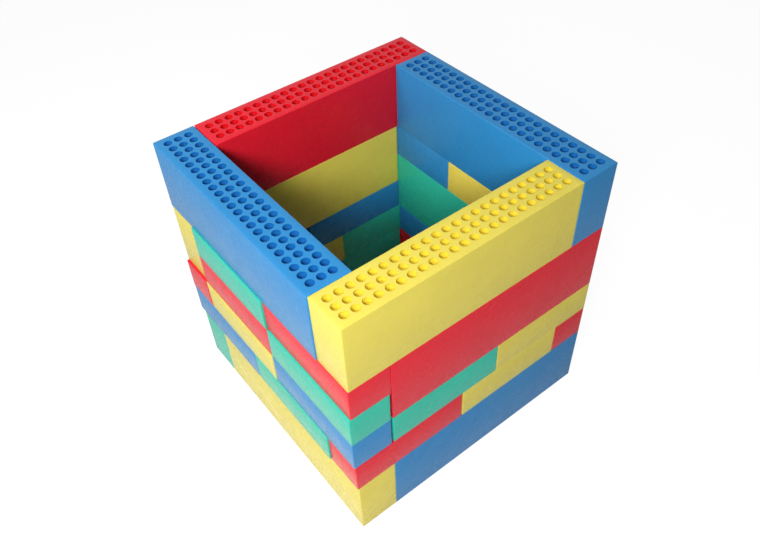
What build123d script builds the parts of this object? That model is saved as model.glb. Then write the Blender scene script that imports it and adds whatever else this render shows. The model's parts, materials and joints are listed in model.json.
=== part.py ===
"""A square tower of loose closed-cell foam bricks, stacked ring on ring round an open well.

Each ring is a pinwheel of four walls: every wall covers one corner and butts the next wall.
Two sizes of brick make the walls, a long one and a short one half as long and half as high.
Every brick has rows of round dimples pressed into its top side; its other sides are flat.

Frame: +Z up, origin on the ground at the centre of the footprint, the front wall faces -Y.
"""
from build123d import *
import os
from math import cos, pi, radians, sin
from typing import NamedTuple, Optional

# ---------------------------------------------------------------- driving dimensions, mm
BRICK_WIDTH = 50.0      # both bricks, and so the wall
LONG_LENGTH = 300.0     # long brick; two short bricks end to end take its place
COURSE_HEIGHT = 44.5    # short brick; a long brick stands two courses high
EDGE_CHAMFER = 0.7      # broken edge all round a brick
LOOSE_FIT = 0.2         # a brick is made this much under its place in length and height, to slide free
STACKING_OFFSET = 0.5   # unit of the table's proud and slip: how finely hand stacking is told

DIMPLE_PITCH = 12.5     # centre to centre, both ways
DIMPLE_RADIUS = 4.8     # at the rim
DIMPLE_DEPTH = 6.5
DIMPLE_SIDES = 10       # flats round a dimple
DIMPLE_TIER = radians(45)  # where the two tiers of a dimple meet, as an angle round its bowl from the rim

# ---------------------------------------------------------------- what follows from them
SHORT_LENGTH = LONG_LENGTH / 2
LONG_HEIGHT = 2 * COURSE_HEIGHT
SIDE = LONG_LENGTH + BRICK_WIDTH     # outside of the tower; the well is SIDE - 2 * BRICK_WIDTH

# Quarter turns, seen from above, that carry the front wall to each wall.
WALL_TURNS = {"front": 0, "right": 1, "back": 2, "left": 3}

# Rows are one course high and count from the ground. In a row that turns "with", each wall starts
# at its own left corner; in one that turns "against", it starts one brick width in and covers the
# corner at its right. Left and right are as seen from outside the wall.
ROW_TURNS = {1: "against", 3: "with", 4: "against", 5: "against", 6: "against", 7: "with"}


class Brick(NamedTuple):
    """Where one loose brick lies, and how many stacking offsets it stands off its true place."""
    row: int                    # the row its underside starts
    wall: str
    half: Optional[str]         # "left" or "right" for a short brick, None for a long one
    colour: str
    proud: int = 0              # out of the wall's face
    slip: int = 0               # along the wall, to the right
    open_top: bool = False      # nothing lies on the brick, so its dimples are in view

    @property
    def name(self):
        place = f"row{self.row}_{self.wall}"
        if self.half:
            return f"short_brick_{place}_{self.half}_{self.colour}"
        return f"long_brick_{place}_{self.colour}"


BRICKS = [
    # rows 1 and 2, the base: long bricks
    Brick(1, "front", None, "blue"),
    Brick(1, "right", None, "red"),
    Brick(1, "back", None, "green"),
    Brick(1, "left", None, "yellow"),
    # row 3: a whole ring of short bricks
    Brick(3, "front", "left", "red", slip=-3),
    Brick(3, "front", "right", "yellow"),
    Brick(3, "right", "left", "red"),
    Brick(3, "right", "right", "blue"),
    Brick(3, "back", "left", "green"),
    Brick(3, "back", "right", "yellow"),
    Brick(3, "left", "left", "blue", proud=6),
    Brick(3, "left", "right", "green", proud=6),
    # row 4: short bricks, except in the right wall
    Brick(4, "front", "left", "green"),
    Brick(4, "front", "right", "yellow"),
    Brick(4, "back", "left", "blue"),
    Brick(4, "back", "right", "red", slip=7),
    Brick(4, "left", "left", "yellow", proud=6),
    Brick(4, "left", "right", "blue", proud=5),
    # rows 4 and 5, right wall
    Brick(4, "right", None, "green"),
    # row 5, left wall
    Brick(5, "left", "left", "red", proud=5),
    Brick(5, "left", "right", "green", proud=5),
    # rows 5 and 6, front and back walls
    Brick(5, "front", None, "red"),
    Brick(5, "back", None, "yellow", slip=1),
    # row 6, right and left walls
    Brick(6, "right", "left", "yellow"),
    Brick(6, "right", "right", "blue"),
    Brick(6, "left", "left", "green", proud=5),
    Brick(6, "left", "right", "red", proud=1),
    # rows 7 and 8, the top: long bricks
    Brick(7, "front", None, "yellow", open_top=True),
    Brick(7, "right", None, "blue", open_top=True),
    Brick(7, "back", None, "red", open_top=True),
    Brick(7, "left", None, "blue", proud=2, open_top=True),
]


def block(length, height):
    """A plain brick: outer face on y = 0, left end on x = 0, underside on z = 0."""
    body = Box(length, BRICK_WIDTH, height, align=Align.MIN)
    return chamfer(body.edges(), EDGE_CHAMFER)


def ring(radius, z):
    """The corners of a dimple's outline at one height, closed by repeating the first."""
    step = 2 * pi / DIMPLE_SIDES
    return [Vector(radius * cos(n * step), radius * sin(n * step), z) for n in range(DIMPLE_SIDES + 1)]


def dimple():
    """What one dimple takes out of a face on z = 0: a deep round bowl in flats, two tiers deep."""
    rim = ring(DIMPLE_RADIUS, 0)
    tier = ring(DIMPLE_RADIUS * cos(DIMPLE_TIER), -DIMPLE_DEPTH * sin(DIMPLE_TIER))
    floor = Vector(0, 0, -DIMPLE_DEPTH)
    outlines = [rim[:-1]]
    for n in range(DIMPLE_SIDES):
        outlines.append([rim[n], rim[n + 1], tier[n + 1], tier[n]])
        outlines.append([tier[n], tier[n + 1], floor])
    return Solid(Shell([Face(Wire.make_polygon(outline)) for outline in outlines]))


def dimpled(body, length, height):
    """The brick with rows of dimples down its top, as many as leave a pitch at every edge."""
    along = max(round(length / DIMPLE_PITCH) - 1, 1)
    across = max(round(BRICK_WIDTH / DIMPLE_PITCH) - 1, 1)
    middle = Pos(length / 2, BRICK_WIDTH / 2, height)
    hollow = dimple()
    spots = GridLocations(DIMPLE_PITCH, DIMPLE_PITCH, along, across)
    return body - [middle * spot * hollow for spot in spots]


def stacked(brick):
    """The brick as a solid in its place in the tower."""
    length = (SHORT_LENGTH if brick.half else LONG_LENGTH) - LOOSE_FIT
    height = (COURSE_HEIGHT if brick.half else LONG_HEIGHT) - LOOSE_FIT
    start = (LOOSE_FIT - SIDE) / 2
    if ROW_TURNS[brick.row] == "against":
        start += BRICK_WIDTH
    if brick.half == "right":
        start += SHORT_LENGTH
    along = start + brick.slip * STACKING_OFFSET
    outer_face = -SIDE / 2 - brick.proud * STACKING_OFFSET
    corner = Pos(along, outer_face, (brick.row - 1) * COURSE_HEIGHT)
    turn = Rot(0, 0, 90 * WALL_TURNS[brick.wall])
    body = block(length, height)
    if brick.open_top:
        body = dimpled(body, length, height)
    return turn * corner * body


os.makedirs("parts", exist_ok=True)
for brick in BRICKS:
    export_step(stacked(brick), f"parts/{brick.name}.step")
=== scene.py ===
"""A square tower of loose foam bricks, dressed over its solids.

One long and one short brick are modelled with their dimples, and a copy of one or the other
takes the place of every solid, in its own colour of foam.
"""
import json
import math

import bmesh
import bpy
from mathutils import Matrix, Vector


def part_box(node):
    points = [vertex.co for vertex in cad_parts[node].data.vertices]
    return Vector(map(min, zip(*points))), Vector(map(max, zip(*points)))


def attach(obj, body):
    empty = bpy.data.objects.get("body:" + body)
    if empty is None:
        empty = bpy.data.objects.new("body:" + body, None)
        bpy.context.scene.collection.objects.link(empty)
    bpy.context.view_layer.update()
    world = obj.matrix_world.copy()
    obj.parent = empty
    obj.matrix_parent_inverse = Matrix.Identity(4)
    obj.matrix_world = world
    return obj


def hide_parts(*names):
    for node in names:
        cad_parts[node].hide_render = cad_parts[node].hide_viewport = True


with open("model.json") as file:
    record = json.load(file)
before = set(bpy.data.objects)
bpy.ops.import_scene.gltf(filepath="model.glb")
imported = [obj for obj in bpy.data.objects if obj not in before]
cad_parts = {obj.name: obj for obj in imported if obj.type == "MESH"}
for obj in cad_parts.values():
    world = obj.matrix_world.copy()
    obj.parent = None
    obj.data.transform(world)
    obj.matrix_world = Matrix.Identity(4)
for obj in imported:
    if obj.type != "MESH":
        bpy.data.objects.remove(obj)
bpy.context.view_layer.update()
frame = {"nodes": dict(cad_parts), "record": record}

bl_info = {
    "name": "Foam Brick Tower",
    "version": (1, 0, 0),
    "blender": (4, 5, 0),
    "location": "3D View > Sidebar > Foam Tower",
    "description": "Loose dimpled foam bricks stacked ring on ring round an open well",
    "category": "Object",
}

MM = 0.001
CLOSE = 0.01 * MM        # two places nearer than this are the same
SKIN_CUTS = 3            # of each side of the square of skin round a dimple
RING_VERTICES = 4 * (SKIN_CUTS + 1)  # round one dimple, as many as round its square
EDGE_SEGMENTS = 3        # across a rounded edge
SMOOTH_BELOW = math.radians(35)  # faces that meet at less than this are shaded as one

# Where a dimple's wall turns, as shares of its rim radius and of its depth. The bowl is deeper
# than half a ball, with steep sides, a round floor and a crisp rim.
BOWL_TURNS = ((0.96, 0.5), (0.75, 0.88))

ROUGHNESS_SPREAD = 0.03  # how far the roughness of the foam wanders, up and down

# The punch that presses a dimple closes the cells, so its bowl is smoother. Its colour is painted
# shade and painted bounced light: richer in colour, and darker too unless the dye is pale. This
# stands in for the shade and the coloured light in the deep hollows.
DIMPLE_SHADE_POWER = 1.4      # each channel of the dye is raised to this
DIMPLE_SHADE_BLACK_KEEP = 0.8      # how much of its light a black dye would keep
DIMPLE_SHADE_PALE_GAIN = 0.65  # and how much more a white dye would

# How the floor is seen by the camera: mostly as an even glow, so that it is white, and for the
# rest as paper, so that a faint shadow is left on it.
FLOOR_GLOW = 1.1
FLOOR_GLOW_SHARE = 0.85

# Where the soft lamps stand, in metres, and the side of each square lamp. They all shine at one
# place near the middle of the tower.
LAMP_TARGET = (0, 0, 0.2)
MAIN_LAMP = ((-0.689, -0.666, 0.922), 0.3)
SIDE_LAMP = ((-0.807, 0.142, 0.774), 0.5)
TOP_LAMP = ((-0.388, 0.326, 1.288), 0.6)

# The camera's place, in metres, and its turns in degrees: round the tower, up from straight down,
# and about its own line of sight.
CAMERA_PLACE = (-0.3815, -0.5223, 0.8304)
CAMERA_TURNS = ((-35.71, "Z"), (44.03, "X"), (-3.16, "Z"))


def linear(hex_colour):
    """An sRGB hex colour as linear red, green and blue."""
    channels = (int(hex_colour[i:i + 2], 16) / 255 for i in (0, 2, 4))
    return tuple(c / 12.92 if c <= 0.04045 else ((c + 0.055) / 1.055) ** 2.4 for c in channels)


def size_of(node):
    """Length, width and height of a solid that lies along X or Y."""
    low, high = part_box(node)
    x, y, z = (high[i] - low[i] for i in range(3))
    return max(x, y), min(x, y), z


def nodes_named(prefix):
    """The solids whose names start so, in alphabetical order."""
    return sorted(name for name in frame["nodes"] if name.startswith(prefix))


LONG_SOLID = size_of(nodes_named("long_brick")[0])
SHORT_SOLID = size_of(nodes_named("short_brick")[0])
BODIES = frame["record"]["behaviour"]["bodies"]
BODY_OF = {node: body for body, nodes in BODIES.items() for node in nodes}


# ---------------------------------------------------------------- what a user may change

class FoamBrickSizes(bpy.types.PropertyGroup):
    long_length: bpy.props.FloatProperty(
        name="Long brick", description="Length of a long brick",
        default=LONG_SOLID[0], min=0.05, unit="LENGTH")
    short_length: bpy.props.FloatProperty(
        name="Short brick", description="Length of a short brick",
        default=SHORT_SOLID[0], min=0.05, unit="LENGTH")
    width: bpy.props.FloatProperty(
        name="Width", description="Width of every brick, and so the thickness of the walls",
        default=LONG_SOLID[1], min=0.01, unit="LENGTH")
    long_height: bpy.props.FloatProperty(
        name="Long height", description="Height of a long brick, two courses",
        default=LONG_SOLID[2], min=0.01, unit="LENGTH")
    short_height: bpy.props.FloatProperty(
        name="Short height", description="Height of a short brick, one course",
        default=SHORT_SOLID[2], min=0.01, unit="LENGTH")
    edge_radius: bpy.props.FloatProperty(
        name="Edge radius", description="Rounding of a brick's cut edges",
        default=0.7 * MM, min=0.0, unit="LENGTH")
    dimple_pitch: bpy.props.FloatProperty(
        name="Dimple pitch", description="From dimple to dimple, both ways",
        default=12.5 * MM, min=0.001, unit="LENGTH")
    dimple_radius: bpy.props.FloatProperty(
        name="Dimple radius", description="At the rim of a dimple",
        default=4.8 * MM, min=0.0005, unit="LENGTH")
    dimple_depth: bpy.props.FloatProperty(
        name="Dimple depth", description="From the top skin to the floor of a dimple",
        default=6.5 * MM, min=0.0005, unit="LENGTH")


class FoamColours(bpy.types.PropertyGroup):
    blue: bpy.props.FloatVectorProperty(
        name="Blue", description="Colour of the blue foam", subtype="COLOR",
        default=linear("2d85c1"), min=0, max=1)
    red: bpy.props.FloatVectorProperty(
        name="Red", description="Colour of the red foam", subtype="COLOR",
        default=linear("e01d30"), min=0, max=1)
    yellow: bpy.props.FloatVectorProperty(
        name="Yellow", description="Colour of the yellow foam", subtype="COLOR",
        default=linear("e1d158"), min=0, max=1)
    green: bpy.props.FloatVectorProperty(
        name="Green", description="Colour of the green foam", subtype="COLOR",
        default=linear("2fbda2"), min=0, max=1)


class StudioSettings(bpy.types.PropertyGroup):
    floor_size: bpy.props.FloatProperty(
        name="Floor", description="Side of the pale floor", default=8.0, min=1, unit="LENGTH")
    floor_colour: bpy.props.FloatVectorProperty(
        name="Floor colour", description="Colour of the floor", subtype="COLOR",
        default=linear("f2f2f2"), min=0, max=1)
    main_power: bpy.props.FloatProperty(
        name="Main lamp", description="Soft lamp at the near left of the tower, in watts",
        default=11.2, min=0, unit="POWER")
    side_power: bpy.props.FloatProperty(
        name="Side lamp", description="Wider soft lamp at the left of the tower, in watts",
        default=2.5, min=0, unit="POWER")
    top_power: bpy.props.FloatProperty(
        name="Top lamp", description="Soft lamp high above the far left corner, in watts",
        default=5.0, min=0, unit="POWER")
    room_light: bpy.props.FloatProperty(
        name="Room light", description="Even light from the white room all round",
        default=0.1, min=0)
    lens: bpy.props.FloatProperty(
        name="Lens", description="Focal length of the camera on a 36 mm frame, in millimetres",
        default=35.45, min=10)


# ---------------------------------------------------------------- modelling by hand

def put_down():
    """Leaves edit mode with nothing selected, so that the next operator touches only new work."""
    if bpy.context.object and bpy.context.object.mode == "EDIT":
        bpy.ops.object.mode_set(mode="OBJECT")
    bpy.ops.object.select_all(action="DESELECT")


def pick(kind, test):
    """Selects, in edit mode, the vertices, edges or faces that pass the test, and no others."""
    bpy.ops.mesh.select_mode(type=kind)
    bpy.ops.mesh.select_all(action="DESELECT")
    shape = bmesh.from_edit_mesh(bpy.context.object.data)
    for item in {"VERT": shape.verts, "EDGE": shape.edges, "FACE": shape.faces}[kind]:
        if test(item):
            item.select_set(True)
    shape.select_flush_mode()
    bmesh.update_edit_mesh(bpy.context.object.data)


def pull_edges(down=0.0, widen=(1.0, 1.0)):
    """Extrudes the selected edges, lowers the new ones and scales them about the brick's middle."""
    bpy.ops.mesh.extrude_edges_move(TRANSFORM_OT_translate={"value": (0, 0, -down)})
    bpy.ops.transform.resize(value=(*widen, 1), center_override=(0, 0, 0))


def repeat(count, step):
    """Repeats the active object along one way, and joins the copies where they meet."""
    bpy.ops.object.modifier_add(type="ARRAY")
    row = bpy.context.object.modifiers[-1]
    row.count = count
    row.use_relative_offset = False
    row.use_constant_offset = True
    row.constant_offset_displace = step
    row.use_merge_vertices = True
    row.merge_threshold = CLOSE
    bpy.ops.object.modifier_apply(modifier=row.name)


def dimple(sizes):
    """One dimple in its square of skin, as wide as the pitch, with its skin on z = 0."""
    put_down()
    half = sizes.dimple_pitch / 2
    bpy.ops.mesh.primitive_plane_add(size=sizes.dimple_pitch)
    bpy.context.object.data.materials.append(None)
    bpy.context.object.data.materials.append(None)
    bpy.ops.object.mode_set(mode="EDIT")
    bpy.ops.mesh.subdivide(number_cuts=SKIN_CUTS)
    pick("VERT", lambda v: max(abs(v.co.x), abs(v.co.y)) < half - CLOSE)
    bpy.ops.mesh.delete(type="VERT")
    bpy.ops.mesh.primitive_circle_add(vertices=RING_VERTICES, radius=sizes.dimple_radius)
    bpy.ops.mesh.select_all(action="SELECT")
    bpy.ops.mesh.bridge_edge_loops()
    pick("EDGE", lambda e: all(v.co.xy.length < sizes.dimple_radius + CLOSE for v in e.verts))
    reach, depth = 1.0, 0.0
    for radius_share, depth_share in BOWL_TURNS:
        shrink = radius_share / reach
        pull_edges(down=(depth_share - depth) * sizes.dimple_depth, widen=(shrink, shrink))
        reach, depth = radius_share, depth_share
    pull_edges(down=(1 - depth) * sizes.dimple_depth)
    bpy.ops.mesh.merge(type="CENTER")
    pick("FACE", lambda f: f.calc_center_median().z < -CLOSE)
    bpy.context.object.active_material_index = 1
    bpy.ops.object.material_slot_assign()
    bpy.ops.object.mode_set(mode="OBJECT")
    return bpy.context.object


def on_edge(edge, length, width, height):
    """True if an edge of the mesh lies on one of the brick's twelve edges."""
    def at(values, limit):
        return all(abs(abs(value) - limit) < CLOSE for value in values)
    end = at([v.co.x for v in edge.verts], length / 2)
    face = at([v.co.y for v in edge.verts], width / 2)
    top = all(v.co.z > -CLOSE for v in edge.verts)
    underside = all(v.co.z < CLOSE - height for v in edge.verts)
    return end + face + (top or underside) >= 2


def model_brick(name, length, height, sizes):
    """A brick with its dimples, its top on z = 0, its middle on the origin, its length along X."""
    brick = dimple(sizes)
    brick.name = name
    pitch, width = sizes.dimple_pitch, sizes.width
    along = round(length / pitch) - 1
    across = round(width / pitch) - 1
    repeat(along, (pitch, 0, 0))
    repeat(across, (0, pitch, 0))
    bpy.ops.object.mode_set(mode="EDIT")
    bpy.ops.mesh.select_all(action="SELECT")
    bpy.ops.transform.translate(value=((1 - along) * pitch / 2, (1 - across) * pitch / 2, 0))
    pick("EDGE", lambda e: e.is_boundary)
    pull_edges(widen=(length / (along * pitch), width / (across * pitch)))
    pull_edges(down=height)
    bpy.ops.mesh.edge_face_add()
    pick("EDGE", lambda e: on_edge(e, length, width, height))
    bpy.ops.mesh.bevel(
        offset=sizes.edge_radius, segments=EDGE_SEGMENTS, affect="EDGES", clamp_overlap=False)
    bpy.ops.mesh.select_all(action="SELECT")
    bpy.ops.mesh.normals_make_consistent(inside=False)
    put_down()
    brick.select_set(True)
    bpy.ops.object.shade_smooth_by_angle(angle=SMOOTH_BELOW)
    return brick


def lay(pattern, node):
    """Copies a pattern brick into the place of a solid, and gives it the solid's colour of foam."""
    *_, colour = node.split("_")
    low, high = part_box(node)
    turned = high[1] - low[1] > high[0] - low[0]
    put_down()
    pattern.select_set(True)
    bpy.context.view_layer.objects.active = pattern
    bpy.ops.object.duplicate(linked=False)
    brick = bpy.context.object
    brick.name = node.replace("brick", "foam_brick")
    brick.location = ((low[0] + high[0]) / 2, (low[1] + high[1]) / 2, high[2])
    brick.rotation_euler.z = math.radians(90) if turned else 0
    bpy.ops.object.transform_apply(location=True, rotation=True, scale=True)
    skin, hollow = foam_finishes(colour)
    brick.material_slots[0].material = skin
    brick.material_slots[1].material = hollow
    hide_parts(node)
    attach(brick, BODY_OF[node])


# ---------------------------------------------------------------- finishes

def add(tree, kind, links=None, **settings):
    """Adds a node. Links are its inputs, as values or as other nodes' outputs."""
    made = tree.nodes.new(kind)
    for name, value in settings.items():
        setattr(made, name, value)
    for name, value in (links or {}).items():
        if isinstance(value, bpy.types.NodeSocket):
            tree.links.new(value, made.inputs[name])
        else:
            made.inputs[name].default_value = value
    return made


def per_metre(millimetres):
    """The scale of a pattern whose features are this large."""
    return 1 / (millimetres * MM)


def blank(name):
    """A material with nodes and nothing in it, and its tree."""
    material = bpy.data.materials.new(name)
    material.use_nodes = True
    material.node_tree.nodes.clear()
    return material, material.node_tree


def foam(name, colour, clouding, roughness, shine, grain_strength):
    """Closed-cell EVA foam, sliced from a block: soft-looking, evenly dyed right through.

    It looks matte from in front and takes a pale waxy haze at a glancing angle, so it has a low
    specular level over a fairly smooth surface. The dye clouds a little over a few centimetres,
    the slice has slow waves, and the cut cells give a fine grain. Real cells are 0.2 to 0.4 mm
    across; they are drawn at 0.9 mm, so that they show at arm's length.
    """
    material, tree = blank(name)
    place = add(tree, "ShaderNodeTexCoord").outputs["Object"]
    cloud = add(tree, "ShaderNodeTexNoise", {
        "Vector": place, "Scale": per_metre(45), "Detail": 3.0, "Roughness": 0.55})
    shade = add(tree, "ShaderNodeMapRange", {
        "Value": cloud.outputs["Fac"], "From Min": 0.3, "From Max": 0.7,
        "To Min": 1 - clouding, "To Max": 1 + clouding})
    # For the dimples, the colour given here already holds painted shade.
    dye = add(tree, "ShaderNodeHueSaturation", {
        "Value": shade.outputs["Result"], "Color": (*colour, 1)})
    cells = add(tree, "ShaderNodeTexVoronoi", {"Vector": place, "Scale": per_metre(0.9)})
    waves = add(tree, "ShaderNodeTexNoise", {
        "Vector": place, "Scale": per_metre(14), "Detail": 2.0})
    swell = add(tree, "ShaderNodeBump", {
        "Height": waves.outputs["Fac"], "Strength": 0.04, "Distance": 0.6 * MM})
    grain = add(tree, "ShaderNodeBump", {
        "Height": cells.outputs["Distance"], "Strength": grain_strength, "Distance": 0.1 * MM,
        "Normal": swell.outputs["Normal"]})
    dull = add(tree, "ShaderNodeMapRange", {
        "Value": waves.outputs["Fac"], "From Min": 0.3, "From Max": 0.7,
        "To Min": roughness - ROUGHNESS_SPREAD, "To Max": roughness + ROUGHNESS_SPREAD})
    surface = add(tree, "ShaderNodeBsdfPrincipled", {
        "Base Color": dye.outputs["Color"], "Roughness": dull.outputs["Result"],
        "Normal": grain.outputs["Normal"], "IOR": 1.48, "Specular IOR Level": shine})
    out = add(tree, "ShaderNodeOutputMaterial")
    tree.links.new(surface.outputs["BSDF"], out.inputs["Surface"])
    return material


def foam_finishes(colour):
    """The two finishes of one colour of foam: its sliced skin, and its smoother dimples, whose
    darker, richer colour is painted shade and painted bounced light.
    """
    skin = bpy.data.materials.get(f"sliced {colour} EVA foam")
    if skin is None:
        dye = tuple(getattr(bpy.context.scene.foam_colours, colour))
        skin = foam(f"sliced {colour} EVA foam", dye, clouding=0.03, roughness=0.27, shine=0.2,
                    grain_strength=0.4)
        # The dimple colour is painted shade: the dye darkened and deepened, standing in for the
        # shade and bounced light in the hollows.
        paleness = sum(dye) / 3
        shade_factor = DIMPLE_SHADE_BLACK_KEEP + DIMPLE_SHADE_PALE_GAIN * paleness
        painted_shade_colour = tuple(shade_factor * channel ** DIMPLE_SHADE_POWER for channel in dye)
        foam(f"pressed {colour} EVA foam", painted_shade_colour, clouding=0.02, roughness=0.5, shine=0.22,
             grain_strength=0.2)
    return skin, bpy.data.materials[f"pressed {colour} EVA foam"]


def white_card(name, colour):
    """Matte white paper roll. The camera sees it as plain white with a faint shadow left on it."""
    material, tree = blank(name)
    ray = add(tree, "ShaderNodeLightPath")
    place = add(tree, "ShaderNodeTexCoord").outputs["Object"]
    fibre = add(tree, "ShaderNodeTexNoise", {"Vector": place, "Scale": per_metre(3), "Detail": 2.0})
    tooth = add(tree, "ShaderNodeBump", {
        "Height": fibre.outputs["Fac"], "Strength": 0.1, "Distance": 0.1 * MM})
    paper = add(tree, "ShaderNodeBsdfPrincipled", {
        "Base Color": (*colour, 1), "Roughness": 0.9, "Normal": tooth.outputs["Normal"]})
    glow = add(tree, "ShaderNodeEmission", {"Color": (1, 1, 1, 1), "Strength": FLOOR_GLOW})
    share = add(tree, "ShaderNodeMath", {
        0: ray.outputs["Is Camera Ray"], 1: FLOOR_GLOW_SHARE}, operation="MULTIPLY")
    both = add(tree, "ShaderNodeMixShader", {
        "Fac": share.outputs["Value"], 1: paper.outputs["BSDF"], 2: glow.outputs["Emission"]})
    out = add(tree, "ShaderNodeOutputMaterial")
    tree.links.new(both.outputs["Shader"], out.inputs["Surface"])
    return material


# ---------------------------------------------------------------- operators

class TOWER_OT_long_bricks(bpy.types.Operator):
    """Model the long brick and lay every long brick of the tower"""
    bl_idname = "tower.long_bricks"
    bl_label = "Lay Long Bricks"

    def execute(self, context):
        sizes = context.scene.foam_sizes
        pattern = model_brick("long_pattern", sizes.long_length, sizes.long_height, sizes)
        for node in nodes_named("long_brick"):
            lay(pattern, node)
        bpy.data.objects.remove(pattern)
        return {"FINISHED"}


class TOWER_OT_short_bricks(bpy.types.Operator):
    """Model the short brick and lay every short brick of the tower"""
    bl_idname = "tower.short_bricks"
    bl_label = "Lay Short Bricks"

    def execute(self, context):
        sizes = context.scene.foam_sizes
        pattern = model_brick("short_pattern", sizes.short_length, sizes.short_height, sizes)
        for node in nodes_named("short_brick"):
            lay(pattern, node)
        bpy.data.objects.remove(pattern)
        return {"FINISHED"}


def soft_lamp(name, eye, side, power):
    """A square lamp that shines at the tower and that the camera doesn't see."""
    bpy.ops.object.light_add(type="AREA")
    lamp = bpy.context.object
    lamp.name = name
    lamp.data.shape = "SQUARE"
    lamp.data.size = side
    lamp.data.energy = power
    lamp.visible_camera = False
    lamp.location = eye
    lamp.rotation_euler = (Vector(LAMP_TARGET) - Vector(eye)).to_track_quat("-Z", "Y").to_euler()


class TOWER_OT_stage(bpy.types.Operator):
    """Set the pale floor, the soft lamps and the camera"""
    bl_idname = "tower.stage"
    bl_label = "Set Stage"

    def execute(self, context):
        studio = context.scene.foam_studio
        put_down()
        bpy.ops.mesh.primitive_plane_add(size=studio.floor_size)
        floor = context.object
        floor.name = "floor"
        floor.data.materials.append(white_card("white paper roll", studio.floor_colour))
        soft_lamp("main lamp", *MAIN_LAMP, studio.main_power)
        soft_lamp("side lamp", *SIDE_LAMP, studio.side_power)
        soft_lamp("top lamp", *TOP_LAMP, studio.top_power)
        self.light_room(studio)
        self.place_camera(studio)
        context.scene.view_settings.view_transform = "Standard"
        return {"FINISHED"}

    def light_room(self, studio):
        """An even white room. The camera, gloss and anything clear see it as plain white."""
        world = bpy.context.scene.world or bpy.data.worlds.new("white room")
        bpy.context.scene.world = world
        world.use_nodes = True
        tree = world.node_tree
        tree.nodes.clear()
        ray = add(tree, "ShaderNodeLightPath")
        mirrored = add(tree, "ShaderNodeMath", {
            0: ray.outputs["Is Glossy Ray"], 1: ray.outputs["Is Transmission Ray"]},
            operation="MAXIMUM")
        seen = add(tree, "ShaderNodeMath", {
            0: mirrored.outputs["Value"], 1: ray.outputs["Is Camera Ray"]}, operation="MAXIMUM")
        strength = add(tree, "ShaderNodeMapRange", {
            "Value": seen.outputs["Value"], "To Min": studio.room_light, "To Max": 1.0})
        room = add(tree, "ShaderNodeBackground", {
            "Color": (1, 1, 1, 1), "Strength": strength.outputs["Result"]})
        out = add(tree, "ShaderNodeOutputWorld")
        tree.links.new(room.outputs["Background"], out.inputs["Surface"])

    def place_camera(self, studio):
        """Above the near left corner, looking down into the well."""
        bpy.ops.object.camera_add()
        camera = bpy.context.object
        camera.data.lens = studio.lens
        camera.data.sensor_width = 36
        turn = Matrix.Identity(4)
        for degrees, axis in CAMERA_TURNS:
            turn @= Matrix.Rotation(math.radians(degrees), 4, axis)
        camera.matrix_world = Matrix.Translation(CAMERA_PLACE) @ turn
        bpy.context.scene.camera = camera


class TOWER_PT_panel(bpy.types.Panel):
    bl_label = "Foam Brick Tower"
    bl_idname = "TOWER_PT_panel"
    bl_space_type = "VIEW_3D"
    bl_region_type = "UI"
    bl_category = "Foam Tower"

    def draw(self, context):
        for group in SETTINGS:
            settings = getattr(context.scene, group)
            box = self.layout.box()
            for name in settings.__annotations__:
                box.prop(settings, name)
        for operator in OPERATORS:
            self.layout.operator(operator.bl_idname)


OPERATORS = (TOWER_OT_long_bricks, TOWER_OT_short_bricks, TOWER_OT_stage)
SETTINGS = {
    "foam_sizes": FoamBrickSizes,
    "foam_colours": FoamColours,
    "foam_studio": StudioSettings,
}


def register():
    for kind in (*SETTINGS.values(), *OPERATORS, TOWER_PT_panel):
        bpy.utils.register_class(kind)
    for name, kind in SETTINGS.items():
        setattr(bpy.types.Scene, name, bpy.props.PointerProperty(type=kind))


def unregister():
    for name in SETTINGS:
        delattr(bpy.types.Scene, name)
    for kind in (TOWER_PT_panel, *reversed(OPERATORS), *SETTINGS.values()):
        bpy.utils.unregister_class(kind)


def main():
    """Registers the classes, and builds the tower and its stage."""
    register()
    bpy.ops.tower.long_bricks()
    bpy.ops.tower.short_bricks()
    bpy.ops.tower.stage()


if __name__ == "__main__":
    main()
